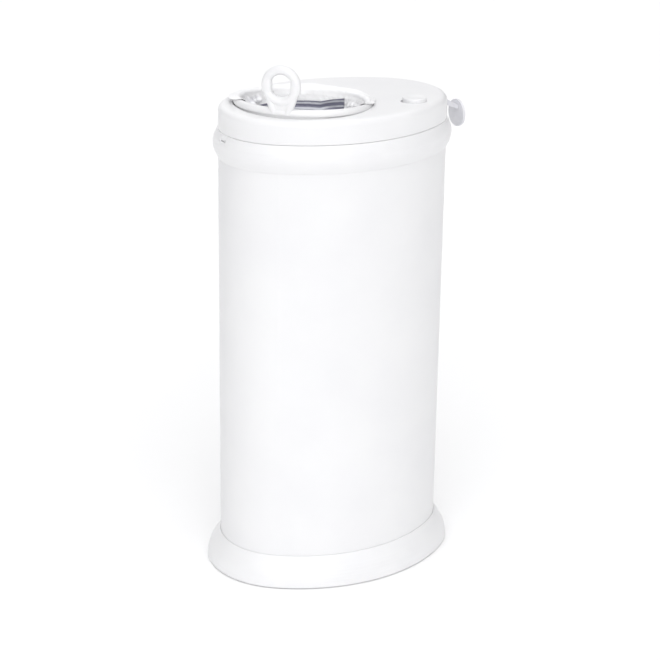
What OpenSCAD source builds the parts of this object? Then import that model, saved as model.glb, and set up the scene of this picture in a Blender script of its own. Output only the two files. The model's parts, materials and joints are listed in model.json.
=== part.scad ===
// Nappy bin: an oval steel drum on a flared foot, with a hinged lid.
// A ring with a grip loop turns in the lid's round mouth and twists the refill film shut.
// Origin: on the floor, under the middle of the whole object. +X runs to the lift tab, -Y is the side of the button.
// The pieces are drawn about the middle of the drum's oval and moved there together at the end.

/* [Drum] */
// Half length of the drum's oval
half_len = 142; // [136:1:150]
// Half width of the drum's oval
half_wid = 102; // [98:1:108]
// Height of the floor of the drum above the ground
drum_floor_z = 31; // [28:1:36]
// Height of the joint between drum and collar
drum_top_z = 517; // [400:1:560]
// Steel thickness of the drum
drum_wall = 1.2; // [0.8:0.1:1.6]

/* [Foot] */
// Height of the foot's upper edge above the drum's floor
foot_lap = 6; // [4:0.5:9]
// How far the foot flares out beyond the drum
foot_flare = 16; // [12:1:20]
// Wall of the foot moulding
foot_wall = 3; // [2.4:0.1:3.4]
// Width of the ledge that carries the drum's floor
ledge_wid = 32; // [28:1:36]
// Radius of a rubber foot pad
pad_r = 9; // [7:0.5:11]

/* [Collar] */
// Height of the collar ring between drum and lid
collar_h = 33; // [30:1:38]
// How far the collar's side bulges out
collar_bulge = 5.5; // [5:0.5:7]
// Depth of the collar's skirt inside the drum
skirt_h = 20; // [14:1:26]

/* [Lid] */
// Height of the lid's side
lid_h = 28; // [27:1:32]
// Wall of the lid cover
lid_wall = 2.5; // [2.2:0.1:3]
// Radius of the lid's upper edge
lid_edge_r = 7.5; // [6:0.5:8.5]
// Depth of the spigot that drops into the collar
spigot_h = 18; // [17:0.5:19.5]
// Radius of the hinge pin
hinge_pin_r = 1.5; // [1.3:0.1:1.7]

/* [Mouth] */
// Width of the lid's top left between the mouth and the lid's end
mouth_end = 19; // [18:0.5:21]
// Width of the lid's top left between the mouth and the lid's sides
mouth_side = 20; // [19:0.5:22]
// Radial width of the turning ring
ring_wid = 10; // [8:0.5:11]
// Height of the grip rim's high side above the lid
rim_rise = 10; // [8:0.5:12]
// Height of the rim's low side above the lid
rim_low = -1; // [-2:0.5:2]
// Direction of the rim's high side and its loop
grip_turn = 222; // [205:1:235]

/* [Grip loop] */
// Radius of the loop, at the middle of its round bar
loop_r = 18; // [16:0.5:20]
// Radius of the loop's bar
loop_bar_r = 5.3; // [4.5:0.1:5.5]
// Height of the loop's centre above the lid
loop_rise = 36; // [34:1:42]

/* [Button and bolt] */
// Distance of the button's centre from the lid's end
button_in_x = 65; // [62:1:68]
// Distance of the button's centre from the lid's side
button_in_y = 48; // [46:1:50]
// Radius of the button
button_r = 14; // [12.5:0.5:15]
// How far the button stands above the lid
button_rise = 4.5; // [4.2:0.1:6]
// Travel of the button, and of the bolt that it draws back
press = 4; // [3:0.5:4]
// Width of the bolt
bolt_wid = 14; // [12.5:0.5:15]
// Depth of the bolt's catch in the collar
catch_depth = 3; // [2:0.5:3.4]

/* [Lift tab] */
// Distance from the lid's end to the tab's plate
tab_reach = 29; // [20:1:32]
// Radius of the tab's round plate
tab_r = 16.5; // [14:0.5:18]
// Thickness of the tab's plate
tab_t = 3; // [3:0.5:5]

/* [Fits] */
// Gap between pieces that fit or slide
gap = 0.3; // [0.2:0.05:0.4]
// Running clearance of a pin in its bore
pin_gap = 0.05; // [0.03:0.01:0.08]

/* [Hidden] */
$fn = 96;

white_paint = [0.95, 0.95, 0.96];
white_plastic = [0.93, 0.93, 0.94];
grey_plastic = [0.74, 0.74, 0.77];
film_white = [0.97, 0.97, 0.98];
rubber_grey = [0.35, 0.35, 0.37];
steel = [0.7, 0.71, 0.73];

// The oval is drawn with four arcs. Its end and side centres and its join follow from the two half axes.
oval_step = half_len - half_wid;
end_x = 1.5 * oval_step;
side_y = 2 * oval_step;
end_r = half_len - end_x;
side_r = half_wid + side_y;
join_turn = atan2(side_y, end_x);
far = 4 * half_len;

// The mouth and the button keep their distances from the lid's outline
mouth_r = half_wid - mouth_side;
mouth_x = -(half_len - mouth_end - mouth_r);
button_x = half_len - button_in_x;
button_y = -(half_wid - button_in_y);

// Heights
lid_z = drum_top_z + collar_h;
lid_top = lid_z + lid_h;
foot_top = drum_floor_z + foot_lap;
ledge_t = 3;
ground_gap = 1;
// Space left between a fixed piece and the face it sits on
seat = 0.15;

// Half width of the oval at x, moved out by off
function oval_y(x, off) = sqrt(pow(side_r + off, 2) - x * x) - side_y;

// A flat oval, moved out from the drum's outline by off
module oval(off) {
    join_x = end_x + (end_r + off) * cos(join_turn);
    for (side = [-1, 1]) translate([side * end_x, 0]) circle(end_r + off);
    intersection() {
        translate([0, -side_y]) circle(side_r + off, $fn = 192);
        translate([0, side_y]) circle(side_r + off, $fn = 192);
        square([2 * join_x, 4 * half_wid], center = true);
    }
}

// A solid oval plate
module oval_plate(off, z0, z1) {
    translate([0, 0, z0]) linear_extrude(z1 - z0) oval(off);
}

// A wedge with its edge on the z axis, from turn a to turn b
module wedge(a, b) {
    mid = (a + b) / 2;
    linear_extrude(4 * far, center = true)
        polygon([[0, 0], far * [cos(a), sin(a)], far * [cos(mid), sin(mid)], far * [cos(b), sin(b)]]);
}

// Carries a profile round the oval. The profile's x is the distance out from the drum's outline.
module oval_sweep() {
    for (side = [0, 1]) {
        mirror([side, 0, 0]) translate([end_x, 0, 0]) intersection() {
            rotate_extrude() translate([end_r, 0]) children();
            wedge(-join_turn, join_turn);
        }
        mirror([0, side, 0]) translate([0, -side_y, 0]) intersection() {
            rotate_extrude($fn = 192) translate([side_r, 0]) children();
            wedge(join_turn, 180 - join_turn);
        }
    }
}

// A plain tube or washer about the z axis
module tube(r_out, r_in, z0, z1) {
    translate([0, 0, z0]) difference() {
        cylinder(r = r_out, h = z1 - z0);
        translate([0, 0, -1]) cylinder(r = r_in, h = z1 - z0 + 2);
    }
}

// A countersunk screw with its head's flat face at the origin, pointing down
screw_r = 2;
screw_head_r = 3.8;
screw_head_h = 2;
screw_slot_wid = 1;
screw_slot_len = 4.8;
screw_slot_h = 1;
module screw(len) {
    translate([0, 0, -len]) cylinder(r = screw_r, h = len - screw_head_h);
    translate([0, 0, -screw_head_h]) difference() {
        cylinder(r = screw_head_r, h = screw_head_h);
        for (turn = [0, 90])
            rotate([0, 0, turn]) translate([-screw_slot_wid / 2, -screw_slot_len / 2, screw_head_h - screw_slot_h])
                cube([screw_slot_wid, screw_slot_len, screw_head_h]);
    }
}

// The hole that such a screw needs
module screw_hole(len) {
    translate([0, 0, -len - 1]) cylinder(r = screw_r + pin_gap, h = len + 1);
    translate([0, 0, -screw_head_h - pin_gap]) cylinder(r = screw_head_r + gap, h = screw_head_h + 1);
}

// ---- Foot and floor ----

pad_in = ledge_wid / 2 + 2;
pad_in_x = 42;
pad_x = half_len - pad_in_x;
pad_t = 4;
pad_pin_r = 3;
pad_pin_h = 8;
pad_boss_wall = 1;
floor_screw_in_x = 84;
floor_screw_x = half_len - floor_screw_in_x;
pan_t = 2;
pan_rim_h = 12;
floor_boss_r = 5;
floor_boss_h = 8;
floor_screw_len = ledge_t + floor_boss_h;

module at_corners(x, in) {
    for (sx = [-1, 1], sy = [-1, 1]) translate([sx * x, sy * oval_y(x, -in), 0]) children();
}

// The foot's outer curve: sloping out from the drum and upright near the ground
flare_z0 = 5;
flare_steps = 8;
lip_t = 0.8;
function flare_out(i) = lip_t + gap + (foot_flare - lip_t - gap) * cos(90 * i / flare_steps);
function flare_z(i) = flare_z0 + (foot_top - flare_z0) * i / flare_steps;

module foot_profile() {
    ledge_z = drum_floor_z - ledge_t;
    outer = [for (i = [0 : flare_steps]) [flare_out(i), flare_z(i)]];
    inner = [for (i = [flare_steps : -1 : 0]) if (flare_z(i) < ledge_z) [flare_out(i) - foot_wall, flare_z(i)]];
    polygon(concat(
        outer,
        [[gap, foot_top], [gap, drum_floor_z], [-ledge_wid, drum_floor_z], [-ledge_wid, ledge_z], [0, ledge_z]],
        inner,
        [[foot_flare - foot_wall, ground_gap], [foot_flare - 1, ground_gap], [foot_flare, ground_gap + 1]]
    ));
}

module foot_ring() {
    color(white_plastic) difference() {
        union() {
            oval_sweep() foot_profile();
            at_corners(pad_x, pad_in)
                translate([0, 0, pad_t]) cylinder(r = pad_r + pad_boss_wall, h = drum_floor_z - ledge_t / 2 - pad_t);
        }
        at_corners(pad_x, pad_in) cylinder(r = pad_pin_r + pin_gap, h = pad_t + pad_pin_h);
        at_corners(floor_screw_x, pad_in) translate([0, 0, drum_floor_z - ledge_t]) mirror([0, 0, 1])
            screw_hole(floor_screw_len);
    }
}

module foot_pads() {
    color(rubber_grey) at_corners(pad_x, pad_in) {
        cylinder(r = pad_r, h = pad_t);
        cylinder(r = pad_pin_r, h = pad_t + pad_pin_h - seat);
    }
}

module floor_pan() {
    color(white_plastic) difference() {
        union() {
            oval_plate(-drum_wall - gap - 1, drum_floor_z, drum_floor_z + pan_t);
            oval_sweep() translate([-drum_wall - gap - pan_t, drum_floor_z]) square([pan_t, pan_rim_h]);
            at_corners(floor_screw_x, pad_in)
                translate([0, 0, drum_floor_z]) cylinder(r = floor_boss_r, h = floor_boss_h + pan_t);
        }
        at_corners(floor_screw_x, pad_in)
            translate([0, 0, drum_floor_z - 1]) cylinder(r = screw_r + pin_gap, h = floor_boss_h + 1 + seat);
    }
}

module floor_screws() {
    color(steel) at_corners(floor_screw_x, pad_in) translate([0, 0, drum_floor_z - ledge_t])
        mirror([0, 0, 1]) screw(floor_screw_len);
}

module body_tube() {
    color(white_paint) difference() {
        translate([0, 0, drum_floor_z]) linear_extrude(drum_top_z - drum_floor_z) difference() {
            oval(0);
            oval(-drum_wall);
        }
        at_collar_screws() cylinder(r = collar_screw_r + pin_gap, h = 4 * collar_screw_len, center = true);
    }
}

// ---- Collar ----

collar_step = 0.8;
collar_in = 4;
skirt_t = 2.5;
collar_steps = 10;
collar_screw_z = drum_top_z - skirt_h / 2;
collar_screw_turn = 25;
collar_screw_r = 1.6;
collar_screw_len = 3;
hinge_z = lid_z - 4.5;
hinge_x = -half_len - 0.2;
hinge_wid = 12;
knuckle_r = 3;
pin_len = hinge_wid + 9;

// How far the collar's side stands out from the drum at height z
function collar_out(z) = collar_step + collar_bulge * sin(180 * (z - drum_top_z) / collar_h);

module collar_profile() {
    side = [for (i = [0 : collar_steps]) let (z = drum_top_z + collar_h * i / collar_steps) [collar_out(z), z]];
    polygon(concat(
        side,
        [[-collar_in, lid_z], [-collar_in, drum_top_z - skirt_h]],
        [[-collar_in + skirt_t - gap, drum_top_z - skirt_h], [-collar_in + skirt_t - gap, drum_top_z]]
    ));
}

// Screws go sideways through the drum into the skirt, on the side away from the button
module at_collar_screws() {
    for (turn = [-collar_screw_turn, collar_screw_turn])
        translate([0, -side_y, collar_screw_z]) rotate([0, 0, turn]) translate([0, side_r, 0]) rotate([-90, 0, 0])
            children();
}

module at_hinge() { translate([hinge_x, 0, hinge_z]) rotate([90, 0, 0]) children(); }

module collar() {
    slot = knuckle_r + gap;
    color(white_plastic) difference() {
        oval_sweep() collar_profile();
        // Slot in which the lid's hinge lug turns
        translate([hinge_x - collar_bulge - slot, -hinge_wid / 2 - gap, hinge_z - slot])
            cube([collar_bulge + 2 * slot + collar_in, hinge_wid + 2 * gap, far]);
        at_hinge() cylinder(r = hinge_pin_r + pin_gap, h = pin_len + 2 * gap, center = true);
        // Catch for the bolt
        at_bolt() translate([wall_u - collar_in, -bolt_wid / 2 - gap, bolt_z - gap])
            cube([collar_in + catch_depth + 2 * gap, bolt_wid + 2 * gap, bolt_t + 2 * gap]);
        at_collar_screws() cylinder(r = collar_screw_r + pin_gap, h = 4 * collar_screw_len, center = true);
    }
}

module collar_screws() {
    color(steel) at_collar_screws() {
        cylinder(r = 2 * collar_screw_r, h = 1);
        translate([0, 0, -collar_screw_len]) cylinder(r = collar_screw_r, h = collar_screw_len + 0.5);
    }
}

module hinge_pin() {
    color(steel) at_hinge() cylinder(r = hinge_pin_r, h = pin_len, center = true);
}

// ---- Bolt and button places ----

// The bolt points away from the side arc's centre, so it meets the collar's wall squarely
bolt_turn = atan2(button_y - side_y, button_x);
button_u = norm([button_x, button_y - side_y]);
wall_u = side_r - collar_in - button_u;
bolt_t = 6;
bolt_z = lid_z - 11;
bolt_back = 14;
stem_r = 4.5;

module at_button() { translate([button_x, button_y, 0]) children(); }
module at_bolt() { at_button() rotate([0, 0, bolt_turn]) children(); }

// ---- Lid ----

edge_c = lid_top - lid_edge_r;
lid_gap = 0.4;
rib_t = 2;
pan_z = lid_z + 2 * gap;
pan_h = 2.5;
throat_wall = 3;
retain_room = 1.9;
throat_r = mouth_r + throat_wall;
throat_z = pan_z + pan_h + retain_room;
shelf_t = 2.5;
shelf_wid = 8.5;
shelf_r = mouth_r - shelf_wid;
boss_r = 4.5;
gasket_t = 1.7;
gasket_h = 4;
gasket_low = 1.5;
spigot_t = 2.5;
spigot_in = collar_in + 2 * gap + gasket_t + spigot_t;
spring_room = 9;
lid_screw_len = 14;
lid_boss_in = spigot_in + screw_head_r + 1;
side_plate = 20;

module lid_side_profile() {
    low = lid_z + lid_gap;
    difference() {
        union() {
            translate([-side_plate, low]) square([side_plate, edge_c - low]);
            translate([-side_plate, low]) square([side_plate - lid_edge_r, lid_top - low]);
            translate([-lid_edge_r, edge_c]) circle(lid_edge_r);
        }
        translate([-side_plate - 1, low - 1]) square([side_plate + 1 - lid_wall, edge_c - low + 1]);
        translate([-side_plate - 1, low - 1]) square([side_plate + 1 - lid_edge_r, lid_top - lid_wall - low + 1]);
        translate([-lid_edge_r, edge_c]) circle(lid_edge_r - lid_wall);
    }
}

// The lid's screws, clear of the mouth and the button: two on the end arc, the rest along both side arcs.
// A side screw is given by its turn about the side arc's centre and its side.
end_screw_turn = 32;
side_screws = [[21, 1], [-3, 1], [10, -1], [-3, -1]];
module at_lid_screws() {
    end_in = end_r - lid_boss_in;
    side_in = side_r - lid_boss_in;
    for (side = [-1, 1])
        translate([end_x + end_in * cos(end_screw_turn), side * end_in * sin(end_screw_turn), 0]) children();
    for (place = side_screws)
        translate([side_in * sin(place[0]), place[1] * (side_in * cos(place[0]) - side_y), 0]) children();
}

// The lug fills the collar's slot flush with the collar's side and turns on the hinge pin
lug_steps = 3;
lug_back = 0.1;
lug_in = 0.3;
module hinge_lug() {
    side = [for (i = [0 : lug_steps]) let (z = hinge_z + (lid_z - hinge_z) * i / lug_steps)
        [-half_len - collar_out(z) + lug_back, z]];
    at_hinge() cylinder(r = knuckle_r, h = hinge_wid, center = true);
    rotate([90, 0, 0]) linear_extrude(hinge_wid, center = true) polygon(concat(side, [
        [-half_len + lug_in, lid_z + lid_gap], [-half_len + lug_in, lid_z + lid_wall],
        [-half_len + lid_wall, lid_z + lid_wall], [hinge_x + knuckle_r, hinge_z]
    ]));
}

module lid_cover() {
    color(white_plastic) difference() {
        union() {
            oval_sweep() lid_side_profile();
            oval_plate(1 - side_plate, lid_top - lid_wall, lid_top);
            at_lid_screws() translate([0, 0, pan_z + pan_h])
                cylinder(r = boss_r, h = lid_top - lid_wall / 2 - pan_z - pan_h);
            hinge_lug();
        }
        translate([mouth_x, 0, lid_z]) cylinder(r = mouth_r, h = far);
        at_button() translate([0, 0, lid_z]) cylinder(r = button_r + gap, h = far);
        // Finger notch beside the button
        at_button() translate([notch_r - button_r - notch_wid, 0, lid_z]) cylinder(r = notch_r, h = far);
        at_hinge() cylinder(r = hinge_pin_r + pin_gap, h = hinge_wid + 2, center = true);
        at_lid_screws() translate([0, 0, pan_z]) cylinder(r = screw_r + pin_gap, h = lid_screw_len + seat);
        at_tab_screw() cylinder(r = screw_r + pin_gap, h = 2 * tab_screw_len, center = true);
    }
}

module lid_pan() {
    guide_wid = bolt_wid + 2 * rib_t + 2 * gap;
    color(white_plastic) difference() {
        union() {
            oval_plate(-lid_wall - gap, pan_z, pan_z + pan_h);
            oval_sweep() translate([-spigot_in, lid_z - spigot_h]) square([spigot_t, spigot_h + 1]);
            // Guide round the bolt and its spring
            at_bolt() translate([-bolt_back - spring_room - rib_t, -guide_wid / 2, bolt_z - gap - rib_t])
                cube([bolt_back + spring_room + rib_t + wall_u - collar_in, guide_wid, pan_z + 1 - bolt_z + gap + rib_t]);
        }
        at_mouth() translate([0, 0, bolt_z]) cylinder(r = throat_r + gap, h = lid_h);
        at_bolt() translate([-bolt_back - spring_room, -bolt_wid / 2 - gap, bolt_z - gap])
            cube([bolt_back + spring_room + wall_u, bolt_wid + 2 * gap, bolt_t + 2 * gap]);
        at_button() translate([0, 0, bolt_z - press]) cylinder(r = stem_r + gap, h = lid_h);
        at_lid_screws() translate([0, 0, pan_z]) mirror([0, 0, 1]) screw_hole(lid_screw_len);
    }
}

module lid_screws() {
    color(steel) at_lid_screws() translate([0, 0, pan_z]) mirror([0, 0, 1]) screw(lid_screw_len);
}

// Rubber band round the spigot
module lid_gasket() {
    color(rubber_grey) oval_sweep() translate([-collar_in - 2 * gap - gasket_t, lid_z - spigot_h + gasket_low])
        square([gasket_t, gasket_h]);
}

// ---- Throat ----

module at_mouth() { translate([mouth_x, 0, 0]) children(); }

module throat_ring() {
    color(white_plastic) at_mouth() {
        tube(throat_r, mouth_r, throat_z, lid_top - lid_wall);
        tube(mouth_r + 1, shelf_r, throat_z, throat_z + shelf_t);
        tube(throat_r, throat_r - 2, pan_z, throat_z + 1);
    }
}

// ---- Turning ring: channel, film pack, grip rim ----

rim_gap = 0.6;
rim_depth = 13;
ring_out = mouth_r - rim_gap;
ring_in = ring_out - ring_wid;
channel_z = throat_z + shelf_t + gap;
channel_t = 2;
channel_top = lid_top - rim_depth;
retain_t = 2.4;
retain_lap = 5;
retain_z = throat_z - gap - retain_t;

module twist_channel() {
    color(white_plastic) at_mouth() {
        tube(ring_out, ring_in, channel_z, channel_z + channel_t);
        tube(ring_out, ring_out - channel_t, channel_z, channel_top);
        tube(ring_in + channel_t, ring_in, retain_z - 1, channel_top);
    }
}

module retaining_ring() {
    color(grey_plastic) at_mouth()
        tube(shelf_r + retain_lap, ring_in + channel_t + pin_gap, retain_z, retain_z + retain_t);
}

module film_pack() {
    color(film_white) at_mouth()
        tube(ring_out - channel_t - gap, ring_in + channel_t + gap, channel_z + channel_t, channel_top - 1);
}

// The grip rim is a tilted torus on a sleeve. Its high side carries the loop.
sleeve_step = 1.5;
rim_r = ring_wid / 2;
rim_mid = ring_out - rim_r;
rim_tilt = asin((rim_rise - rim_low) / (2 * rim_mid));
rim_z = lid_top + (rim_rise + rim_low) / 2 - rim_r;
leg_turn = 20;
leg_foot_rise = 4;
loop_z = lid_top + loop_rise;
leg_top = [loop_r * cos(leg_turn), loop_z - loop_r * sin(leg_turn)];
leg_foot_z = lid_top + leg_foot_rise;
leg_len = (leg_top[1] - leg_foot_z) / cos(leg_turn);
leg_foot_y = leg_top[0] - leg_len * sin(leg_turn);
leg_step = 0.5;
web_t = 7;
cheek_in = 1.9;
cheek_h = loop_r;
hole_r = loop_r - loop_bar_r;
hole_low_r = 10.4;

module loop() {
    rotate([0, 90, 0]) translate([-loop_z, 0, 0]) rotate_extrude() translate([loop_r, 0]) circle(loop_bar_r);
    for (side = [0, 1]) mirror([0, side, 0]) translate([0, leg_foot_y, leg_foot_z]) rotate([-leg_turn, 0, 0])
        cylinder(r = loop_bar_r - leg_step, h = leg_len);
    // Cheeks that make the finger hole narrower than it is high
    for (side = [-1, 1]) translate([0, side * (loop_r - cheek_in), loop_z - cheek_h / 2])
        cylinder(r = loop_bar_r - seat, h = cheek_h);
    // Web that closes the neck below the finger hole
    rotate([90, 0, 90]) linear_extrude(web_t, center = true) difference() {
        polygon([[-leg_foot_y, leg_foot_z], [leg_foot_y, leg_foot_z], leg_top, [-leg_top[0], leg_top[1]]]);
        translate([0, loop_z]) circle(hole_r);
        translate([0, loop_z - loop_bar_r]) circle(hole_low_r);
    }
}

module grip_rim() {
    color(white_plastic) at_mouth() rotate([0, 0, grip_turn]) {
        difference() {
            tube(ring_out - sleeve_step, ring_in + sleeve_step, channel_top, lid_top + rim_rise);
            translate([0, 0, rim_z]) rotate([0, -rim_tilt, 0])
                translate([-far / 2, -far / 2, 0]) cube([far, far, 4 * rim_rise]);
        }
        translate([0, 0, rim_z]) rotate([0, -rim_tilt, 0]) rotate_extrude($fn = 144) translate([rim_mid, 0])
            circle(rim_r);
        translate([rim_mid, 0, 0]) loop();
    }
}

// Film drawn from the pack, over the rim and down through the throat
film_t = 0.8;
film_drop = 20;
film_edge = 6;
module liner_film() {
    color(film_white) at_mouth() 
        tube(ring_in - gap, ring_in - gap - film_t, lid_z - film_drop, rim_z - film_edge);
}

// ---- Button and bolt ----

guide_t = 4.5;
guide_floor_t = 2;
guide_z = pan_z + pan_h;
cap_wall = 1.8;
cap_depth = 8;
cap_edge_r = 1.6;
cap_low = lid_top - cap_depth;
cap_hollow_h = 6;
dish_r = 90;
dish_depth = 0.8;
notch_r = 10;
notch_wid = 4;
spring_bar = 0.5;
button_spring_r = 8;
bolt_spring_r = 2.2;
stem_z = bolt_z + 0.5;

module button_guide() {
    color(white_plastic) at_button() {
        tube(button_r + gap + guide_t, button_r + gap, guide_z, lid_top - lid_wall);
        tube(button_r + 1, stem_r + gap, guide_z, guide_z + guide_floor_t);
    }
}

module button_cap() {
    color(white_plastic) at_button() {
        difference() {
            rotate_extrude() difference() {
                union() {
                    translate([0, cap_low]) square([button_r, lid_top + button_rise - cap_edge_r - cap_low]);
                    translate([0, cap_low]) square([button_r - cap_edge_r, lid_top + button_rise - cap_low]);
                    translate([button_r - cap_edge_r, lid_top + button_rise - cap_edge_r]) circle(cap_edge_r);
                }
                translate([stem_r, cap_low - 1]) square([button_r - cap_wall - stem_r, cap_hollow_h + 1]);
                translate([-far, cap_low - 2]) square([far, far]);
            }
            // Shallow dish for the finger
            translate([0, 0, lid_top + button_rise + dish_r - dish_depth]) sphere(dish_r, $fn = 144);
        }
        // Stem with a 45 degree wedge that draws the bolt back
        rotate([0, 0, bolt_turn]) difference() {
            translate([0, 0, stem_z]) cylinder(r = stem_r, h = cap_low + 1 - stem_z);
            wedge_cut(stem_r, stem_z);
        }
    }
}

wedge_len = 20;
window_back = 10;

// Removes what lies below a 45 degree plane that starts at u on the height z
module wedge_cut(u, z) {
    rotate([90, 0, 0]) linear_extrude(bolt_wid * 2, center = true)
        polygon([[u, z], [u - wedge_len, z + wedge_len], [u - wedge_len, z - 1], [u, z - 1]]);
}

module release_bolt() {
    color(grey_plastic) at_bolt() difference() {
        translate([-bolt_back, -bolt_wid / 2, bolt_z]) cube([bolt_back + wall_u + catch_depth, bolt_wid, bolt_t]);
        // Window round the stem. Its back wall has the slope of the stem's wedge.
        difference() {
            translate([-window_back, -stem_r - gap, bolt_z - 1])
                cube([window_back + stem_r + press + gap, 2 * stem_r + 2 * gap, bolt_t + 2]);
            wedge_cut(stem_r - 1.5 * gap, stem_z);
            translate([-wedge_len, -bolt_wid, bolt_z - 2])
                cube([wedge_len - stem_r - press, 2 * bolt_wid, bolt_t + 4]);
        }
    }
}

// A coil spring: rings of points along a helix
coil_steps = 16;
button_turns = 5;
bolt_turns = 4;
function coil_ring(t, r, bar, turns, len, sides) =
    let (out = [cos(360 * turns * t), sin(360 * turns * t), 0])
    let (c = r * out + [0, 0, len * t])
    [for (k = [0 : sides - 1]) c + bar * (cos(360 * k / sides) * out + [0, 0, sin(360 * k / sides)])];

module coil(r, bar, turns, len) {
    sides = 6;
    steps = turns * coil_steps;
    rings = [for (i = [0 : steps]) each coil_ring(i / steps, r, bar, turns, len, sides)];
    skin = [for (i = [0 : steps - 1], k = [0 : sides - 1])
        let (a = i * sides + k, b = i * sides + (k + 1) % sides) [a, b, b + sides, a + sides]];
    caps = [[for (k = [sides - 1 : -1 : 0]) k], [for (k = [0 : sides - 1]) steps * sides + k]];
    polyhedron(rings, concat(skin, caps), convexity = 8);
}

module button_spring() {
    color(steel) at_button() translate([0, 0, guide_z + guide_floor_t + spring_bar])
        coil(button_spring_r, spring_bar, button_turns, cap_low + cap_hollow_h - guide_z - guide_floor_t - 2 * spring_bar);
}

module bolt_spring() {
    color(steel) at_bolt() translate([-bolt_back - spring_room + spring_bar, 0, bolt_z + bolt_t / 2])
        rotate([0, 90, 0]) coil(bolt_spring_r, spring_bar, bolt_turns, spring_room - 2 * spring_bar);
}

// ---- Lift tab ----

neck_wid = 9;
neck_rise = 5;
neck_t = 8;
neck_low = lid_z + neck_rise;
neck_high = neck_low + neck_t;
neck_flat = 7;
neck_in = 6;
tab_drop = 9.5;
tab_z = lid_z - tab_drop;
neck_end = 10;
neck_end_t = 5;
tab_x = half_len + tab_reach;
tab_screw_len = 10;

module at_tab_screw() {
    translate([half_len - lid_wall - screw_head_h - seat, 0, (neck_low + neck_high) / 2]) rotate([0, -90, 0])
        children();
}

// A round plate that hangs outside the collar from a short sloping neck
module lift_tab() {
    color(grey_plastic) difference() {
        union() {
            translate([tab_x, 0, tab_z]) rotate([0, 90, 0]) cylinder(r = tab_r, h = tab_t);
            rotate([90, 0, 0]) linear_extrude(neck_wid, center = true) polygon([
                [half_len - neck_in, neck_low], [half_len - neck_in, neck_high],
                [half_len + neck_flat, neck_high], [tab_x + 1, tab_z + neck_end],
                [tab_x + 1, tab_z + neck_end - neck_end_t], [half_len + neck_flat, neck_low]
            ]);
        }
        oval_plate(pin_gap, lid_z, lid_top);
        at_tab_screw() translate([0, 0, -tab_screw_len - seat]) cylinder(r = screw_r + pin_gap, h = tab_screw_len);
    }
}

module tab_screw() {
    color(steel) at_tab_screw() screw(tab_screw_len);
}

// How far the middle of the whole object lies from the middle of the drum
mid_x = (tab_reach + tab_t - foot_flare) / 2;

translate([-mid_x, 0, 0]) {
    foot_ring();
    foot_pads();
    floor_pan();
    floor_screws();
    body_tube();
    collar();
    collar_screws();
    hinge_pin();
    lid_cover();
    lid_pan();
    lid_screws();
    lid_gasket();
    throat_ring();
    lift_tab();
    tab_screw();
    button_guide();
    button_spring();
    bolt_spring();
    twist_channel();
    retaining_ring();
    film_pack();
    grip_rim();
    liner_film();
    button_cap();
    release_bolt();
}
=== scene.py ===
import json
import math

import bpy
from mathutils import Matrix, Vector, noise


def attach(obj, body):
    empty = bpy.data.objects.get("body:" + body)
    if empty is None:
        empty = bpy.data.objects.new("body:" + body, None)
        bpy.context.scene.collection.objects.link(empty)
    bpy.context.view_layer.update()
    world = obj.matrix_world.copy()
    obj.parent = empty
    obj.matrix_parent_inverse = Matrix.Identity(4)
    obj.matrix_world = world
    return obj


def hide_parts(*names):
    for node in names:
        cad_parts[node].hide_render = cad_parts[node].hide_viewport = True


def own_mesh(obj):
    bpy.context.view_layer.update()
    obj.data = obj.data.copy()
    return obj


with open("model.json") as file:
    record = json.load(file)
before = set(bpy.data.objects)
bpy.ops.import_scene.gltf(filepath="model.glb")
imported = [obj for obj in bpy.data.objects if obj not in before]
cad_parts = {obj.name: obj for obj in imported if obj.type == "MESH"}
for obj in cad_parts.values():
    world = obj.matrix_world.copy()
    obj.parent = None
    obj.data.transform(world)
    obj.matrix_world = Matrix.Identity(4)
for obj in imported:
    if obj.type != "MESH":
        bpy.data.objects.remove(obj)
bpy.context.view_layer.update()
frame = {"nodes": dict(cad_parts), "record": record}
nodes = frame["nodes"]

MM = 0.001
# Middle of the round mouth in the frame, and the plane of the lid's top
MOUTH = Vector((-49 * MM, 0, 0))
LID_TOP = 578 * MM


# ---- Node trees ----

class Graph:
    """A node tree. A source is a (node, output) pair."""

    def __init__(self, tree):
        self.tree = tree

    def node(self, kind, **values):
        """A node with these attributes or, where it has none of that name, these inputs."""
        made = self.tree.nodes.new(kind)
        for key, value in values.items():
            if hasattr(made, key):
                setattr(made, key, value)
            else:
                made.inputs[key.replace("_", " ")].default_value = value
        return made

    def link(self, source, made, socket):
        node, out = source
        self.tree.links.new(node.outputs[out], made.inputs[socket])

    def math(self, kind, a, b):
        """A maths node on two sources or numbers."""
        made = self.node("ShaderNodeMath", operation=kind)
        for socket, value in enumerate((a, b)):
            if isinstance(value, tuple):
                self.link(value, made, socket)
            else:
                made.inputs[socket].default_value = value
        return made, "Value"

    def dot(self, source, direction):
        made = self.node("ShaderNodeVectorMath", operation="DOT_PRODUCT")
        self.link(source, made, 0)
        made.inputs[1].default_value = direction
        return made, "Value"

    def span(self, source, start, end, low=0.0, high=1.0):
        """Low up to start, high from end on, and even between them."""
        made = self.node("ShaderNodeMapRange", From_Min=start, From_Max=end, To_Min=low, To_Max=high)
        self.link(source, made, "Value")
        return made, "Result"


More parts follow.
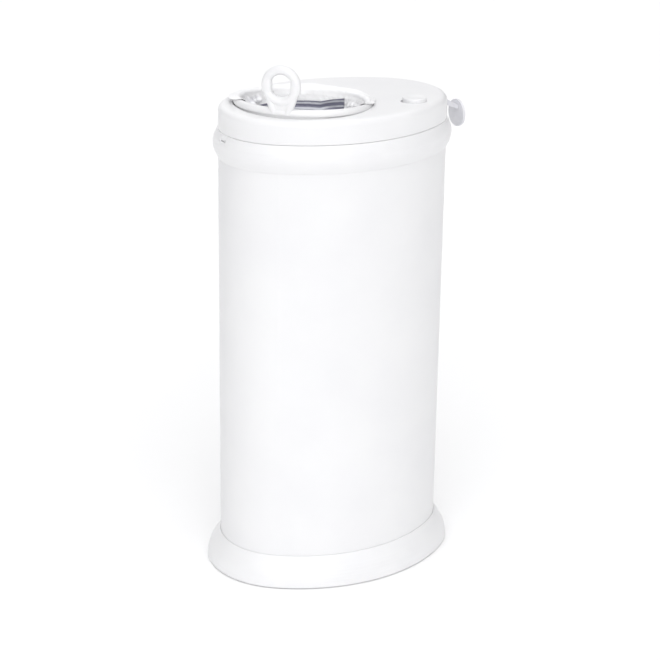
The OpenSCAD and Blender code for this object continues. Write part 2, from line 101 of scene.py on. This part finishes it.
class Mat(Graph):
    """A material with its Principled shader ready."""

    def __init__(self, name):
        self.mat = bpy.data.materials.new(name)
        self.mat.use_nodes = True
        super().__init__(self.mat.node_tree)
        self.bsdf = self.tree.nodes["Principled BSDF"]

    def set(self, **values):
        for key, value in values.items():
            self.bsdf.inputs[key.replace("_", " ")].default_value = value

    def noise(self, size, detail=4.0, scale=(1, 1, 1)):
        """Noise with a grain of about this size in metres, fixed to the piece."""
        mapping = self.node("ShaderNodeMapping")
        mapping.inputs["Scale"].default_value = scale
        self.link((self.node("ShaderNodeTexCoord"), "Object"), mapping, "Vector")
        made = self.node("ShaderNodeTexNoise", Scale=1 / size, Detail=detail)
        self.link((mapping, "Vector"), made, "Vector")
        return made, "Fac"

    def ramp(self, source, low, high, at=(0.35, 0.65)):
        """A colour from low to high, as the source goes between these two values."""
        made = self.node("ShaderNodeValToRGB")
        for element, position, colour in zip(made.color_ramp.elements, at, (low, high)):
            element.position = position
            element.color = (*colour, 1)
        self.link(source, made, "Fac")
        return made, "Color"

    def tint(self, source, low, high):
        self.link(self.ramp(source, low, high), self.bsdf, "Base Color")

    def rough(self, source, low, high):
        self.link(self.span(source, 0, 1, low, high), self.bsdf, "Roughness")

    def bump(self, source, height, strength):
        made = self.node("ShaderNodeBump", Strength=strength, Distance=height)
        self.link(source, made, "Height")
        self.link((made, "Normal"), self.bsdf, "Normal")


# ---- Materials ----

def painted_steel():
    m = Mat("painted_steel")
    m.tint(m.noise(0.09), (0.835, 0.835, 0.845), (0.86, 0.86, 0.865))
    m.rough(m.noise(0.02), 0.28, 0.34)
    m.bump(m.noise(0.03, 2), 0.00003, 0.12)
    m.set(Specular_IOR_Level=0.25)
    return m.mat


def white_plastic():
    m = Mat("white_plastic")
    m.tint(m.noise(0.06), (0.84, 0.84, 0.85), (0.865, 0.865, 0.87))
    m.rough(m.noise(0.015), 0.28, 0.36)
    m.bump(m.noise(0.02, 2), 0.00002, 0.15)
    m.set(Specular_IOR_Level=0.45, Subsurface_Weight=0.05, Subsurface_Scale=0.002)
    m.set(Subsurface_Radius=(1, 1, 1))
    return m.mat


def grey_plastic():
    m = Mat("grey_plastic")
    m.tint(m.noise(0.02), (0.7, 0.7, 0.735), (0.76, 0.76, 0.79))
    m.rough(m.noise(0.006), 0.4, 0.52)
    m.bump(m.noise(0.0007, 3), 0.00004, 0.4)
    return m.mat


def grey_rubber():
    m = Mat("grey_rubber")
    m.tint(m.noise(0.01), (0.08, 0.08, 0.085), (0.11, 0.11, 0.115))
    m.rough(m.noise(0.004), 0.7, 0.85)
    m.bump(m.noise(0.0009, 3), 0.00008, 0.5)
    return m.mat


def bare_steel():
    m = Mat("bare_steel")
    m.tint(m.noise(0.004), (0.55, 0.55, 0.56), (0.68, 0.68, 0.69))
    m.rough(m.noise(0.002, 4, (1, 1, 8)), 0.22, 0.4)
    m.set(Metallic=1.0)
    return m.mat


# The film's colour is set by its height and by a side value, which grows with this slope towards the
# button's side of the mouth. Low in the throat the film is painted with a blue-grey shade in wavy pleat
# bands, whose upper line climbs beyond CLIMB_FROM.
SIDE_SLOPE = (0.235, -0.134, 0)
PAINTED_SHADE_Z = 562 * MM
PAINTED_SHADE_EDGE = (-0.8 * MM, 0.4 * MM)
CLIMB_FROM = -6.3 * MM
# Beyond the crumpled fold at the button's side the film is white all the way down
FOLD_AT, FOLD_EDGE = 1.3 * MM, 0.3 * MM
# At the other side of the mouth the film is painted with streaks of shade below the rim
SIDE_SHADE_FROM, SIDE_SHADE_FULL, SIDE_SHADE_SHARE = -24.2 * MM, -26.8 * MM, 0.75
# The film is painted with a glow below the rim's top, full from RIM_SHADE down
RIM_TOP, RIM_SHADE = 577 * MM, 6 * MM
PAINTED_GLOW = 0.2
# The Mix node's sockets for its factor and two colours, and its output for a colour
MIX_FACTOR, MIX_A, MIX_B, MIX_OUT = 0, 6, 7, 2


def film():
    """Thin white film, with painted blue-grey shade deep in the throat and a painted glow below the rim.
    """
    m = Mat("refill_film")
    m.rough(m.noise(0.01), 0.25, 0.4)
    m.bump(m.noise(0.004, 3), 0.0003, 0.35)
    # The white emission colour is a painted glow
    m.set(Specular_IOR_Level=0.5, Emission_Color=(1, 1, 1, 1))
    place = (m.node("ShaderNodeTexCoord"), "Object")
    split = m.node("ShaderNodeSeparateXYZ")
    m.link(place, split, "Vector")
    side = m.dot(place, SIDE_SLOPE)
    climb = m.math("MAXIMUM", m.math("SUBTRACT", side, CLIMB_FROM), 0)
    height = m.math("SUBTRACT", (split, "Z"), climb)
    lay = m.node("ShaderNodeCombineXYZ")
    for source, socket in (((split, "X"), "X"), ((split, "Y"), "Y"), (height, "Z")):
        m.link(source, lay, socket)
    # Painted shade: wavy bands for the blue-grey colour low in the throat
    painted_pleat_shade = m.node(
        "ShaderNodeTexWave", bands_direction="Z", Scale=52, Distortion=3, Detail=2, Detail_Scale=0.35
    )
    m.link((lay, "Vector"), painted_pleat_shade, "Vector")
    # Painted shade colours, dark and mid blue-grey
    deep = m.ramp((painted_pleat_shade, "Fac"), (0.225, 0.225, 0.295), (0.64, 0.65, 0.7), (0.55, 0.9))
    # Painted shade line: the film is white above this height and painted dark below it
    edge = m.span(height, PAINTED_SHADE_Z + PAINTED_SHADE_EDGE[0], PAINTED_SHADE_Z + PAINTED_SHADE_EDGE[1])
    bright = m.math("MAXIMUM", edge, m.span(side, FOLD_AT, FOLD_AT + FOLD_EDGE))
    below = m.span((split, "Z"), RIM_TOP, RIM_TOP - RIM_SHADE)
    # Painted light: the film glows above the painted shade line, below the rim
    painted_glow_mask = m.math("MULTIPLY", edge, below)
    m.link(m.math("MULTIPLY", painted_glow_mask, PAINTED_GLOW), m.bsdf, "Emission Strength")
    # Painted shade: darkens the film in streaks at the side away from the button
    painted_side_shade = m.math("MULTIPLY", m.span(side, SIDE_SHADE_FROM, SIDE_SHADE_FULL, 0, SIDE_SHADE_SHARE), below)
    painted_shade_streaks = m.ramp(m.noise(0.014, 1, (1, 1, 0.12)), (0.25, 0.25, 0.25), (1, 1, 1))
    painted_light_factor = m.math("SUBTRACT", bright, m.math("MULTIPLY", painted_side_shade, painted_shade_streaks))
    white = m.ramp(m.noise(0.03), (0.95, 0.95, 0.96), (0.98, 0.98, 0.985))
    # Mixes the white film with the painted shade
    mix = m.node("ShaderNodeMix", data_type="RGBA")
    for source, socket in ((painted_light_factor, MIX_FACTOR), (deep, MIX_A), (white, MIX_B)):
        m.link(source, mix, socket)
    m.link((mix, MIX_OUT), m.bsdf, "Base Color")
    return m.mat


MATERIALS = {
    "painted steel": painted_steel(),
    "white plastic": white_plastic(),
    "grey plastic": grey_plastic(),
    "grey rubber": grey_rubber(),
    "bare steel": bare_steel(),
    "film": film(),
}
NODE_SLOT = {part["node"]: part["material_slot"] for part in frame["record"]["subparts"]}


# ---- CAD pieces: material and softened edges ----

SHARP = math.radians(35)
# Width of the softened edges, in millimetres, where a piece has them
EDGE = {
    "collar": 0.3,
    "lid_cover": 0.2,
    "button_cap": 0.3,
    "lift_tab": 0.5,
    "foot_ring": 0.4,
    "foot_pads": 0.8,
}


def dress(obj, material):
    obj.data.materials.clear()
    obj.data.materials.append(material)
    for face in obj.data.polygons:
        face.material_index = 0


def soften(obj, width):
    """Smooth faces, with a small rounded edge where two faces meet at a sharp angle."""
    for face in obj.data.polygons:
        face.use_smooth = True
    obj.data.set_sharp_from_angle(angle=SHARP)
    if width:
        bevel = obj.modifiers.new("edge", "BEVEL")
        bevel.width = width
        bevel.segments = 2
        bevel.limit_method = "ANGLE"
        bevel.angle_limit = SHARP
        bevel.harden_normals = True


for name, obj in nodes.items():
    dress(obj, MATERIALS[NODE_SLOT[name]])
    soften(obj, EDGE.get(name, 0) * MM)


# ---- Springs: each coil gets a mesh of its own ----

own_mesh(nodes["button_spring"])
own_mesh(nodes["bolt_spring"])


# ---- Film: one sleeve out of the throat, over the far half of the rim ----

# The rim's bar: its ring's radius, its own radius, its mean height and its rise towards RIM_TURN
RIM_R = 76.4 * MM
BAR_R = 5 * MM
RIM_Z = 577.5 * MM
RIM_RISE = 5.5 * MM
RIM_TURN = math.radians(222)
# The film's radius in the throat, its low end, its distance from the bar's surface, and how far
# below the bar's middle it leaves the wall
FILM_IN = 70.6 * MM
FILM_LOW = 532 * MM
FILM_OFF = 0.45 * MM
LEAVE = 2 * MM
# The film lies over the rim up to OVER_FULL each side of FAR_TURN, and not at all beyond OVER_NONE
FAR_TURN = math.radians(60)
OVER_FULL, OVER_NONE = math.radians(100), math.radians(124)
CUFF = 7 * MM
# Crumpled folds at both ends of the mouth: middle, and how far each side they are full and gone
RIGHT_FOLD = (math.radians(-4), math.radians(17), math.radians(21))
LEFT_FOLD = (math.radians(128), math.radians(16), math.radians(24))
LEFT_FOLD_Z = (562 * MM, 570 * MM)
# Crumple of three sizes: waves round the mouth, shift of the pattern, and length down the film
FOLD = (3.0, 0, 22 * MM)
FINE = (8.0, 9, 9 * MM)
CREASE = (3.4, 4, 60 * MM)
# The pleats' pitch, and how far below the rim they start and are full
HEM_PITCH = 9 * MM
HEM_FROM, HEM_FULL = 12 * MM, 20 * MM
FILM_TURNS, FILM_STEPS = 420, 84


def smooth(a, b, x):
    t = min(1, max(0, (x - a) / (b - a)))
    return t * t * (3 - 2 * t)


def turn_gap(a, b):
    return abs((a - b + math.pi) % (2 * math.pi) - math.pi)


def ridged(x, y, z):
    """Crumple: soft ridges with sharp creases, 0 to 1."""
    total, size, gain = 0.0, 1.0, 0.55
    for _ in range(3):
        total += gain * (1 - min(1, abs(noise.noise(Vector((x * size, y * size, z * size)))) * 2.4))
        size *= 2.1
        gain *= 0.5
    return total


def film_row(turn):
    """One line of the film at a turn about the mouth, from deep in the throat to its free edge."""
    c, s = math.cos(turn), math.sin(turn)
    wave = noise.noise(Vector((c * 2.2, s * 2.2, 4.2)))
    rim_z = RIM_Z + RIM_RISE * math.cos(turn - RIM_TURN)
    bar = BAR_R + FILM_OFF
    inner = rim_z - LEAVE - FILM_LOW
    arc = math.pi / 2 * bar
    over = 1 - smooth(OVER_FULL, OVER_NONE, turn_gap(turn, FAR_TURN))
    total = inner + over * (arc + CUFF * (1 + wave) + LEAVE) - (1 - over) * LEAVE

    def crumple(kind, at):
        waves, shift, length = kind
        return ridged(c * waves + shift, s * waves, at / length)

    def at_fold(kind):
        middle, full, gone = kind
        return 1 - smooth(full, gone, turn_gap(turn, middle) + 0.03 * wave)

    right, left = at_fold(RIGHT_FOLD), at_fold(LEFT_FOLD)
    row = []
    for i in range(FILM_STEPS + 1):
        at = total * i / FILM_STEPS
        fold, fine = crumple(FOLD, at), crumple(FINE, at)
        if at < inner:
            # Up the throat's wall, pleated low down and bulging at the two folds
            z = FILM_LOW + at
            deep = smooth(rim_z - HEM_FROM, rim_z - HEM_FULL, z)
            hem = math.sin(at / HEM_PITCH * 2 * math.pi + 2.4 * wave + 1.2 * math.sin(3 * turn))
            bulge = right * smooth(0, 8 * MM, at) + left * smooth(*LEFT_FOLD_Z, z)
            to_rim = 1 - 0.7 * smooth(inner - 7 * MM, inner, at)
            r = FILM_IN - (0.9 * fold + 0.6 * fine) * MM
            r -= deep * (1.6 + 1.4 * hem) * MM
            r -= bulge * (1.5 + 11 * crumple(CREASE, at) + 1.2 * fine) * MM * to_rim
        elif at < inner + arc + LEAVE:
            # Round the bar
            phi = math.pi - (at - inner) / bar
            r = RIM_R + bar * math.cos(phi)
            z = rim_z + bar * math.sin(phi) + (0.2 + 0.9 * fine) * MM
        else:
            # Out over the lid's top
            out = at - inner - arc - LEAVE
            r = RIM_R + 1.5 * MM + out
            z = max(rim_z + bar - 0.3 * out, LID_TOP + 0.35 * MM)
            z += (0.3 + 1.2 * fold * smooth(0, 6 * MM, out)) * MM
        row.append(MOUTH + Vector((r * c, r * s, z)))
    return row


def film_sleeve():
    rows = [film_row(2 * math.pi * i / FILM_TURNS) for i in range(FILM_TURNS)]
    wide = FILM_STEPS + 1
    verts = [p for row in rows for p in row]
    faces = []
    for i in range(FILM_TURNS):
        here, there = i * wide, (i + 1) % FILM_TURNS * wide
        faces += [(here + k, there + k, there + k + 1, here + k + 1) for k in range(FILM_STEPS)]
    mesh = bpy.data.meshes.new("film_sleeve")
    mesh.from_pydata(verts, [], faces)
    obj = bpy.data.objects.new("film_sleeve", mesh)
    bpy.context.scene.collection.objects.link(obj)
    for face in mesh.polygons:
        face.use_smooth = True
    obj.data.materials.append(MATERIALS["film"])
    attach(obj, "ring")
    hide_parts("liner_film")
    return obj


film_obj = film_sleeve()


# ---- Camera ----

CAMERA_AT = Vector((-1133.9, -1951.9, 1139.7)) * MM
CAMERA_RIGHT = Vector((0.868829, -0.494937, 0.013160))
CAMERA_UP = Vector((0.164337, 0.313352, 0.935309))
FOCAL_PX = 1975.0
PHOTO_PX = 660

camera = bpy.data.cameras.new("camera")
camera.sensor_width = 36
camera.sensor_fit = "HORIZONTAL"
camera.lens = FOCAL_PX / PHOTO_PX * camera.sensor_width
camera.clip_start = 0.1
camera.clip_end = 20
cam = bpy.data.objects.new("camera", camera)
bpy.context.scene.collection.objects.link(cam)
axes = Matrix((CAMERA_RIGHT, CAMERA_UP, CAMERA_RIGHT.cross(CAMERA_UP))).transposed()
cam.matrix_world = Matrix.Translation(CAMERA_AT) @ axes.to_4x4()
bpy.context.scene.camera = cam


# ---- Floor, tent and key light ----

FLOOR_HALF = 25.0
TENT_TINT = (0.99, 0.99, 0.998, 1)
TENT_LOW = 0.03
# Soft lobes of the tent's light: towards, how narrow, how strong
TENT_LOBES = [
    ((-0.46, -0.76, 0.46), 6.0, 2.37),
    ((0, 0, 1), 3.0, 1.66),
    ((0.22, 0.93, 0.35), 8.0, 1.12),
]


def stage_material():
    m = Mat("studio_floor")
    m.tint(m.noise(0.8), (0.98, 0.98, 0.98), (0.985, 0.985, 0.985))
    m.set(Roughness=0.9, Specular_IOR_Level=0.1)
    return m.mat


def studio_floor(half):
    mesh = bpy.data.meshes.new("studio_floor")
    corners = [(-half, -half, 0), (half, -half, 0), (half, half, 0), (-half, half, 0)]
    mesh.from_pydata(corners, [], [(0, 1, 2, 3)])
    obj = bpy.data.objects.new("studio_floor", mesh)
    bpy.context.scene.collection.objects.link(obj)
    obj.data.materials.append(stage_material())


def studio_world(low, lobes):
    """A white tent of light: low all round, with the lobes on top of it."""
    world = bpy.data.worlds.new("studio")
    bpy.context.scene.world = world
    world.use_nodes = True
    g = Graph(world.node_tree)
    coord = (g.node("ShaderNodeTexCoord"), "Generated")
    total = low
    for towards, power, strength in lobes:
        facing = g.math("MAXIMUM", g.dot(coord, Vector(towards).normalized()), 0.0)
        lobe = g.math("MULTIPLY", g.math("POWER", facing, power), strength)
        total = g.math("ADD", lobe, total)
    back = g.tree.nodes["Background"]
    back.inputs["Color"].default_value = TENT_TINT
    g.link(total, back, "Strength")


def softbox(name, at, aim, size, power):
    light = bpy.data.lights.new(name, "AREA")
    light.shape = "RECTANGLE"
    light.size, light.size_y = size
    light.energy = power
    obj = bpy.data.objects.new(name, light)
    bpy.context.scene.collection.objects.link(obj)
    obj.location = at
    obj.rotation_mode = "QUATERNION"
    obj.rotation_quaternion = (Vector(aim) - Vector(at)).to_track_quat("-Z", "Y")


studio_floor(FLOOR_HALF)
studio_world(TENT_LOW, TENT_LOBES)
softbox("key", (0.9, -1.9, 1.6), (0, 0, 0.3), (0.9, 0.9), 2.5)
bpy.context.scene.view_settings.view_transform = "Standard"
